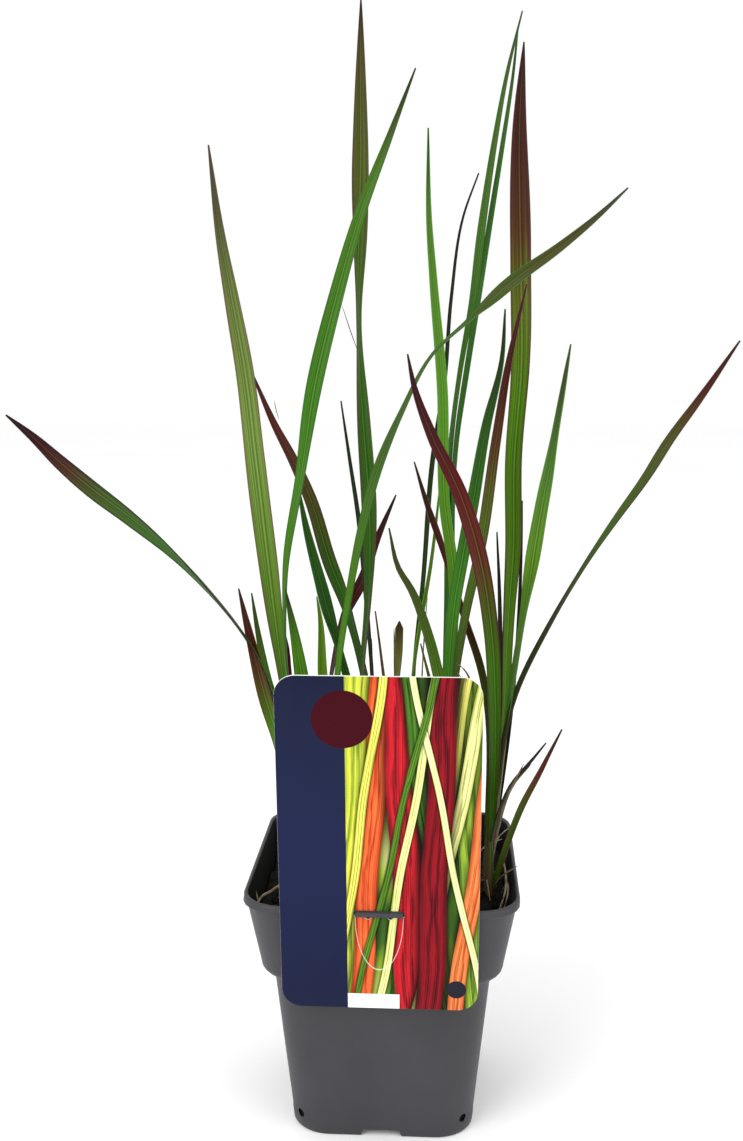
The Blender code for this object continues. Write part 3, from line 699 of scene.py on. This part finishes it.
def leaf_frames(start, stops):
    """For each stop of the leaf: its place, its across and facing ways, and its share."""
    route = smooth_route([start] + [Vector(stop) for stop in stops], LEAF_STEP)
    lengths = [0.0]
    for a, b in zip(route, route[1:]):
        lengths.append(lengths[-1] + (b.xyz - a.xyz).length)
    frames = []
    for k, stop in enumerate(route):
        ahead = route[min(k + 1, len(route) - 1)].xyz - route[max(k - 1, 0)].xyz
        ahead.normalize()
        level = ahead.cross(FRONT).normalized()
        facing = level.cross(ahead)
        turn = math.radians(stop.w)
        across = level * math.cos(turn) + facing * math.sin(turn)
        facing = facing * math.cos(turn) - level * math.sin(turn)
        frames.append((stop.xyz, across, facing, lengths[k] / lengths[-1]))
    return frames


def make_leaf(name, foot, number, leaf):
    """A folded leaf with a raised midrib, faintly waved margins and a long point."""
    width, widest, stops, margin, colours = leaf
    angle = number * GOLDEN_ANGLE
    foot_turn = 25 + 50 * (number % 3)
    start = Vector((foot[0] + FOOT_SPREAD * math.cos(angle),
                    foot[1] + FOOT_SPREAD * math.sin(angle), LEAF_FOOT, foot_turn))
    frames = leaf_frames(start, stops)
    phase = draw.uniform(0, 6.28)
    rate = draw.uniform(16, 26)

    def where(u, v):
        place, across, facing, share = frames[round(v * (len(frames) - 1))]
        half = leaf_width(share, width, widest) / 2
        side = 2 * u - 1
        dip = (1 - abs(side)) ** 0.8 * half * 2 * FOLD
        rib = MIDRIB * max(0.0, 1 - abs(side) * 5) * min(1.0, half)
        wave = WAVE * half * abs(side) ** 3 * math.sin(share * rate + phase + side)
        return place + across * half * side + facing * (wave + rib - dip)

    piece = shaped_grid(name, LEAF_ACROSS, len(frames) - 1, where)
    for loop in piece.data.loops:
        spot = piece.data.uv_layers["UVMap"].data[loop.index]
        spot.uv.y = frames[round(spot.uv.y * (len(frames) - 1))][3]
    solid = piece.modifiers.new("thickness", "SOLIDIFY")
    solid.thickness = LEAF_THICK * MM
    solid.offset = 0
    apply_all(piece)
    piece.data.materials.append(leaf_material(name + "_skin", margin, colours))
    return piece


def make_sheath(name, foot, colours):
    """The wrapped leaf bases: a slim cone, slightly lobed round its edge, closed at its ends.
    """
    around, up = 20, 14

    def where(u, v):
        z = SOIL_TOP - SHEATH_SUNK + v * (SHEATH_TOP - SOIL_TOP + SHEATH_SUNK)
        radius = (SHEATH_RADIUS - 0.2) * (1 - v) + SHEATH_NECK * v
        radius *= 1 + 0.1 * math.sin(u * 4 * math.pi + v * 5)
        angle = u * 2 * math.pi
        return Vector((foot[0] + radius * math.cos(angle),
                       foot[1] + radius * math.sin(angle), z))

    piece = shaped_grid(name, around, up, where)
    outward(piece, 0.00005)
    close_ends(piece, True)
    outward(piece)
    piece.data.materials.append(leaf_material(name + "_skin", "5a4a34", colours))
    return piece


def make_shoot(cad_node):
    """A sheath with its leaves, as one piece."""
    foot, leaves = SHOOTS[cad_node]
    name = cad_node.replace("shoot_", "grass_")
    # The sheath ends in the colour that the first leaf starts with.
    *_, colours = leaves[0]
    base = colours[0][1]
    pieces = [make_leaf(f"{name}_leaf_{k}", foot, k, leaf) for k, leaf in enumerate(leaves)]
    pieces.append(make_sheath(f"{name}_sheath", foot,
                              [(0, "6a4438"), (0.35, "5c5a34"), (0.7, base), (1, base)]))
    shoot = join(pieces, name)
    smooth(shoot, 50)
    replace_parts(ready(shoot, cad_node), cad_node)
    return shoot


def square_point(half, radius, u):
    """A point of a rounded square ring, u running once round it from its +X side."""
    straight = half - radius
    arc = radius * math.pi / 2
    reach = (u % 1.0) * 4 * (2 * straight + arc)
    quarter, reach = divmod(reach, 2 * straight + arc)
    if reach < straight:
        place = Vector((half, reach, 0))
    elif reach < straight + arc:
        angle = (reach - straight) / radius
        place = Vector((straight + radius * math.cos(angle),
                        straight + radius * math.sin(angle), 0))
    else:
        place = Vector((2 * straight + arc - reach, half, 0))
    return Matrix.Rotation(quarter * math.pi / 2, 3, "Z") @ place


def round_lip(low, high, z):
    """Ring half widths and heights over the rounded top of the lip."""
    middle, reach = (low + high) / 2, (high - low) / 2
    rings = []
    for step in range(7):
        angle = step / 6 * math.pi
        rings.append((middle + reach * math.cos(angle), z + reach * math.sin(angle)))
    return rings


def pot_rings():
    """Half widths and heights of the pot's wall, up the outside and down the inside."""
    body_foot = BASE_HALF + BASE_EASE
    rings = [(BASE_HALF - 1.0, 0.0), (BASE_HALF - 0.4, 0.15), (BASE_HALF, 0.8),
             (body_foot + 0.1, STEP_HEIGHT - 0.3), (body_foot, STEP_HEIGHT)]
    for share in (0.1, 0.2, 0.4, 0.6, 0.8, 0.99):
        rings.append((body_foot + (BODY_HALF - body_foot) * share,
                      STEP_HEIGHT + (COLLAR_FOOT - STEP_HEIGHT) * share))
    for step in range(9):
        angle = (0.05 + 0.95 * step / 8) * math.pi / 2
        rings.append((COLLAR_HALF - COLLAR_ROUND * (1 - math.sin(angle)) * 0.95,
                      COLLAR_FOOT + COLLAR_ROUND * (1 - math.cos(angle))))
    lip_foot = RIM_HEIGHT - LIP_DEPTH
    collar_top = RIM_HALF - LIP_PROUD
    shoulder = COLLAR_FOOT + COLLAR_ROUND
    for share in (0.3, 0.6, 0.97):
        rings.append((COLLAR_HALF + (collar_top - COLLAR_HALF) * share,
                      shoulder + (lip_foot - 0.4 - shoulder) * share))
    rings += [(collar_top, lip_foot - 0.35), (RIM_HALF - 0.35, lip_foot - 0.1),
              (RIM_HALF - 0.05, lip_foot + 0.2), (RIM_HALF, lip_foot + 0.6)]
    rings += round_lip(RIM_HALF - LIP_THICK, RIM_HALF, RIM_HEIGHT - LIP_THICK / 2)
    ledge = COLLAR_FOOT + WALL
    rings += [(collar_top - WALL, lip_foot),
              (COLLAR_HALF - WALL, ledge + 4.2), (COLLAR_HALF - 2.5, ledge + 1.2),
              (BODY_HALF - WALL, ledge), (BASE_HALF - WALL, FLOOR)]
    return rings


def cut_from(piece, cutters):
    """Cuts each cutter out of the piece and removes it."""
    for k, cutter in enumerate(cutters):
        cut = piece.modifiers.new(f"cut_{k}", "BOOLEAN")
        cut.operation = "DIFFERENCE"
        cut.object = cutter
    apply_all(piece)
    for cutter in cutters:
        bpy.data.objects.remove(cutter, do_unlink=True)


def cut_box(size, matrix):
    """A box of the size in millimetres, set by the matrix."""
    bpy.ops.object.select_all(action="DESELECT")
    bpy.ops.mesh.primitive_cube_add(size=1.0)
    cutter = bpy.context.object
    cutter.data.transform(matrix @ Matrix.Diagonal((*(Vector(size) * MM), 1.0)))
    return cutter


def cut_rod(radius, length, matrix):
    """A round rod along Z, in millimetres, set by the matrix."""
    bpy.ops.object.select_all(action="DESELECT")
    bpy.ops.mesh.primitive_cylinder_add(vertices=32, radius=radius * MM, depth=length * MM)
    cutter = bpy.context.object
    cutter.data.transform(matrix)
    return cutter


def moved(x, y, z):
    """A move by x, y and z in millimetres."""
    return Matrix.Translation(Vector((x, y, z)) * MM)


def make_pot():
    """The moulded shell with its lip, collar, foot notches, drain holes and label lug."""
    rings = pot_rings()
    around = 4 * (2 * SIDE_POINTS + CORNER_POINTS)

    def where(u, v):
        half, z = rings[round(v * (len(rings) - 1))]
        # Past the lip, the rings run down the inside, with corners tighter by the wall.
        inner = z < RIM_HEIGHT - 1 and v > 0.6
        point = square_point(half, CORNER - (WALL if inner else 0), u)
        return Vector((point.x, point.y, z))

    pot = shaped_grid("nursery_pot", around, len(rings) - 1, where)
    outward(pot)
    close_ends(pot, False)
    lug = cut_box((LUG_WIDTH, LUG_PROUD + 0.6, LUG_HEIGHT),
                  moved(0, -RIM_HALF - LUG_PROUD / 2 + 0.3, LUG_Z))
    joined = pot.modifiers.new("lug", "BOOLEAN")
    joined.operation = "UNION"
    joined.object = lug
    apply_all(pot)
    bpy.data.objects.remove(lug, do_unlink=True)

    cutters = []
    for quarter in range(4):
        turn = Matrix.Rotation(quarter * math.pi / 2, 4, "Z")
        notch = cut_box((NOTCH_WIDTH, 12, 2 * NOTCH_HEIGHT), moved(0, -BASE_HALF - 1, 0))
        for vertex in notch.data.vertices:
            if vertex.co.z > 0:
                vertex.co.x *= 0.75
        notch.data.transform(turn)
        cutters.append(notch)
        cutters.append(cut_rod(DRAIN_RADIUS, 4 * FLOOR,
                               turn @ moved(DRAIN_PLACE, DRAIN_PLACE, 0)))
        diagonal = turn @ Matrix.Rotation(math.pi / 4, 4, "Z")
        reach = (BASE_HALF - CORNER) * math.sqrt(2) + CORNER
        cutters.append(cut_rod(WEEP_RADIUS, 9, diagonal @ moved(reach, 0, WEEP_HEIGHT)
                               @ Matrix.Rotation(math.pi / 2, 4, "Y")))
    cut_from(pot, cutters)
    smooth(pot, 38)
    # The same plastic twice: as it is outside, and inside near black, which is painted shade
    # for the inside of the pot.
    finishes = [pot_material("moulded_polypropylene", "343438", "3b3b3f", 0.28),
                pot_material("inner_wall_painted_shade", "060606", "0d0d0d", 0.12)]
    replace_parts(ready(pot, "pot", *finishes), "pot")
    # The inside of the wall, where its faces look at the pot's middle, takes the painted shade.
    for face in pot.data.polygons:
        inward = face.center.x * face.normal.x + face.center.y * face.normal.y < -0.02 * MM
        if inward and FLOOR * MM < face.center.z < (RIM_HEIGHT - LIP_DEPTH / 2) * MM:
            face.material_index = 1
    return pot


def label_stand(middle_z):
    """Where the card hangs: clear of the rim at the lug, its top leaning forward."""
    back = RIM_HALF + LABEL_THICK / 2 + LABEL_GAP + (middle_z - LUG_Z) * math.tan(LABEL_LEAN)
    return moved(0, -back, middle_z) @ Matrix.Rotation(LABEL_LEAN, 4, "X")


def make_label():
    """A card with round corners, a worn edge and a slot with two scallops."""
    middle_z = (LABEL_TOP + LABEL_BOTTOM) / 2
    height = (LABEL_TOP - LABEL_BOTTOM) / math.cos(LABEL_LEAN)
    card = cut_box((LABEL_WIDTH, LABEL_THICK, height), Matrix.Identity(4))
    card.name = card.data.name = "label_print"
    take(card)
    bpy.context.tool_settings.mesh_select_mode = (False, True, False)
    bpy.ops.object.mode_set(mode="EDIT")
    bpy.ops.mesh.select_all(action="DESELECT")
    bpy.ops.object.mode_set(mode="OBJECT")
    for edge in card.data.edges:
        a, b = (card.data.vertices[k].co for k in edge.vertices)
        edge.select = abs((a - b).normalized().y) > 0.9
    bpy.ops.object.mode_set(mode="EDIT")
    bpy.ops.mesh.bevel(offset=LABEL_CORNER * MM, segments=14, affect="EDGES")
    bpy.ops.object.mode_set(mode="OBJECT")
    bpy.context.tool_settings.mesh_select_mode = (True, False, False)
    slot_z = (LUG_Z - middle_z) / math.cos(LABEL_LEAN)
    cutters = [cut_box((SLOT_WIDTH, 6, SLOT_HEIGHT), moved(0, 0, slot_z))]
    lay = Matrix.Rotation(math.pi / 2, 4, "X")
    for side in (-1, 1):
        cutters.append(cut_rod(SCALLOP_RADIUS, 6,
                               moved(side * SCALLOP_PLACE, 0, slot_z - SLOT_HEIGHT / 2) @ lay))
    cut_from(card, cutters)
    soften = card.modifiers.new("worn_edge", "BEVEL")
    soften.width = 0.12 * MM
    soften.segments = 2
    soften.limit_method = "ANGLE"
    apply_all(card)
    card.data.transform(label_stand(middle_z))
    smooth(card, 30)
    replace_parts(ready(card, "label_card", label_material()), "label_card")
    return card


def soil_height(x, y):
    """The soil's low waves, in millimetres above the pot's foot."""
    waves = math.sin(x * 0.31 + 1.0) * math.cos(y * 0.27) + 0.5 * math.sin(x * 0.7 - y * 0.5)
    return SOIL_TOP - SOIL_RELIEF + SOIL_RELIEF * waves / 1.5


def make_soil():
    """The peat's crumbly top over its plain block."""
    ledge = COLLAR_FOOT + WALL
    clear = WALL + SOIL_INSET
    rings = [(BASE_HALF - clear, FLOOR + SOIL_INSET), (BODY_HALF - clear, ledge + SOIL_INSET),
             (COLLAR_HALF - clear, ledge + 4.6), (SOIL_HALF, None)]
    rings += [(SOIL_HALF * (1 - k / SOIL_RINGS), None) for k in range(1, SOIL_RINGS)]
    grit = random.Random(7)

    def where(u, v):
        half, z = rings[round(v * (len(rings) - 1))]
        corner = (CORNER - clear) * min(1.0, half / SOIL_HALF)
        point = square_point(half, corner, u)
        if z is None:
            z = soil_height(point.x, point.y) + grit.uniform(-SOIL_GRIT, SOIL_GRIT)
        return Vector((point.x, point.y, z))

    soil = shaped_grid("peat", SOIL_AROUND, len(rings) - 1, where)
    outward(soil, 0.00003)
    close_ends(soil, False)
    smooth(soil, 80)
    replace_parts(ready(soil, "soil", peat_material()), "soil")
    return soil


def make_crumbs():
    """Loose lumps of peat scattered over the soil."""
    lumps = []
    for _ in range(CRUMB_COUNT):
        x, y = draw.uniform(-CRUMB_REACH, CRUMB_REACH), draw.uniform(-CRUMB_REACH, CRUMB_REACH)
        radius = draw.uniform(0.5, 1.7)
        bpy.ops.object.select_all(action="DESELECT")
        bpy.ops.mesh.primitive_ico_sphere_add(subdivisions=2, radius=radius * MM)
        lump = bpy.context.object
        stretch = Vector((draw.uniform(0.8, 1.3), draw.uniform(0.8, 1.3), 0.7))
        for vertex in lump.data.vertices:
            vertex.co *= draw.uniform(0.78, 1.15)
            vertex.co = vertex.co * stretch
        lump.data.transform(moved(x, y, soil_height(x, y) + radius * 0.25))
        lumps.append(lump)
    crumbs = join(lumps, "peat_crumbs")
    smooth(crumbs, 60)
    return ready(crumbs, "soil", peat_material())


def thread(name, stops, radius):
    """A thin round fibre through the stops, tapered at its ends, as a closed tube."""
    route = smooth_route([Vector((*stop, 0)) for stop in stops], THREAD_STEP)
    last = len(route) - 1

    def where(u, v):
        k = round(v * last)
        ahead = (route[min(k + 1, last)].xyz - route[max(k - 1, 0)].xyz).normalized()
        side = ahead.orthogonal().normalized()
        up = ahead.cross(side)
        angle = u * 2 * math.pi
        reach = radius * (0.25 + 0.75 * math.sin(math.pi * min(1, max(0, v))) ** 0.4)
        return route[k].xyz + (side * math.cos(angle) + up * math.sin(angle)) * reach

    piece = shaped_grid(name, THREAD_SIDES, last, where)
    outward(piece, 0.000002)
    close_ends(piece, True)
    outward(piece, 0.000002)
    return piece


def make_straw():
    """Dry leaf bits and roots lying across the soil."""
    bits = []
    for _ in range(STRAW_COUNT):
        x, y = draw.uniform(-STRAW_REACH, STRAW_REACH), draw.uniform(-STRAW_REACH, STRAW_REACH)
        way, reach = draw.uniform(0, 6.28), draw.uniform(3, 11)
        lift = draw.uniform(0.2, 2.6)
        far_x = max(-CRUMB_REACH, min(CRUMB_REACH, x + reach * math.cos(way)))
        far_y = max(-CRUMB_REACH, min(CRUMB_REACH, y + reach * math.sin(way)))
        middle = ((x + far_x) / 2 + draw.uniform(-1.5, 1.5), (y + far_y) / 2,
                  soil_height(x, y) + 0.9 + lift)
        bits.append(thread("bit", [(x, y, soil_height(x, y) + 0.4), middle,
                                   (far_x, far_y, soil_height(far_x, far_y) + 0.5)],
                           draw.uniform(0.14, 0.42)))
    straw = join(bits, "dry_straw")
    smooth(straw, 60)
    return ready(straw, "soil", straw_material("dry_straw_fibre", "5a4026", "b89c6a"))


# Pale straws by the pot's inner wall: route and radius.
STRAWS = [
    ([(-41, -35, 80), (-40.6, -33, 83), (-37.6, -20, 82.4), (-34, -6, 80)], 0.5),
    ([(-41.2, -31, 87), (-40.6, -31.6, 84.5), (-39, -33, 79)], 0.25),
    ([(32, 10, 79), (34, 12, 86), (37.5, 14, 87.6), (41.3, 16, 88.4)], 0.3),
    ([(38, 12, 80), (40, 14, 90), (43, 16, 92.2), (47, 20, 92.3)], 0.22),
    ([(40, 12, 79), (40.8, 4, 85), (41.4, -10, 85.6), (40.2, -24, 84), (38, -28, 79)], 0.38),
    ([(40, -10, 79), (41.6, -15, 85), (41.4, -24, 84.5), (39, -30, 79)], 0.28),
    ([(33, -2, 79), (34.4, -6, 84), (36, -16, 79)], 0.22),
    ([(31, -8, 79), (34.5, -6, 83.5), (40.5, -3, 84), (41, 0, 80)], 0.22),
    ([(-20, 38, 79), (-8, 40.5, 84), (6, 40, 83), (12, 36, 79)], 0.3),
    ([(10, -38, 79), (18, -40, 83), (27, -39.5, 83), (32, -36, 79)], 0.28),
]


def make_leaning_straws():
    """Straws that lean on the inside of the pot's rim."""
    pieces = [thread("straw", stops, radius) for stops, radius in STRAWS]
    straws = join(pieces, "leaning_straws")
    smooth(straws, 60)
    return ready(straws, "soil", straw_material("pale_straw_fibre", "54483a", "a49478"))


# Hair-fine dry threads and torn dry bits among the leaves: route and radius.
THREADS = [
    ([(-14.9, 3, 276.7), (-12.3, 3.5, 268.6), (-9.7, 4, 261.5)], 0.14),
    ([(-40.7, 26, 244.7), (-40.2, 27, 241.2), (-39.3, 28, 237.7)], 0.14),
    ([(36, -8, 82), (38, -9, 99), (41, -8, 112), (47, -6, 124)], 0.35),
    ([(36, -7, 82), (39, -4, 100), (44, -2, 115), (50, 0, 122)], 0.3),
    ([(28.6, -9, 140), (28.4, -9, 150.3), (28.0, -9, 154.7), (26.3, -9, 157.4),
      (23.7, -10, 159.7)], 0.4),
    ([(28.2, -9, 153), (25.5, -9.5, 154.5), (24, -10, 156.6)], 0.3),
    ([(3, 22, 84), (-5, 20, 130), (-6, 19, 161)], 0.3),
    ([(4, 23, 84), (2, 27, 140), (1.6, 27, 163)], 0.4),
    ([(14, -2, 84), (12, -4, 140), (13, -6, 168), (14, -7, 182)], 0.3),
    ([(37, -12, 82), (40, -16, 88), (45, -17, 92)], 0.3),
]


def make_threads():
    """Dry threads among the leaves."""
    pieces = [thread("strand", stops, radius) for stops, radius in THREADS]
    strands = join(pieces, "dry_threads")
    smooth(strands, 60)
    return ready(strands, "shoot_dry_stub",
                 straw_material("dry_thread_fibre", "2e2822", "7c6c4c"))


def build_stage():
    """A plain pale floor."""
    bpy.ops.object.select_all(action="DESELECT")
    bpy.ops.mesh.primitive_plane_add(size=8.0)
    floor = bpy.context.object
    floor.name = "pale_floor"
    floor.data.materials.append(floor_material())


def area_light(name, size, power, place_m, target):
    """A round soft light at a place in metres, turned to its target."""
    data = bpy.data.lights.new(name, "AREA")
    data.shape = "DISK"
    data.size = size
    data.energy = power
    lamp = bpy.data.objects.new(name, data)
    bpy.context.scene.collection.objects.link(lamp)
    lamp.location = place_m
    lamp.rotation_euler = (Vector(target) - Vector(place_m)).to_track_quat("-Z", "Y").to_euler()


def build_light():
    """Even white surroundings, a soft window at the left and a weak fill at the right."""
    world = bpy.data.worlds.new("studio")
    bpy.context.scene.world = world
    world.use_nodes = True
    back = world.node_tree.nodes["Background"]
    back.inputs["Color"].default_value = (1.0, 1.0, 1.0, 1.0)
    back.inputs["Strength"].default_value = 1.0
    area_light("window", 0.9, 9.0, (-0.7, -0.9, 0.9), (0, 0, 0.2))
    area_light("fill", 0.8, 3.0, (0.9, -0.6, 0.5), (0, 0, 0.2))


def build_camera():
    """The photograph's view."""
    data = bpy.data.cameras.new("camera")
    data.sensor_width = 36.0
    data.lens = CAMERA_LENS
    camera = bpy.data.objects.new("camera", data)
    camera.location = CAMERA_PLACE
    camera.rotation_euler = (math.radians(CAMERA_TILT), 0, math.radians(CAMERA_TURN))
    bpy.context.scene.collection.objects.link(camera)
    bpy.context.scene.camera = camera


def main():
    """Builds the stage and then every piece, in this order."""
    bpy.context.scene.view_settings.view_transform = "Standard"
    build_camera()
    build_light()
    build_stage()
    make_pot()
    make_label()
    make_soil()
    make_crumbs()
    make_straw()
    make_leaning_straws()
    make_threads()
    for cad_node in SHOOTS:
        make_shoot(cad_node)


main()
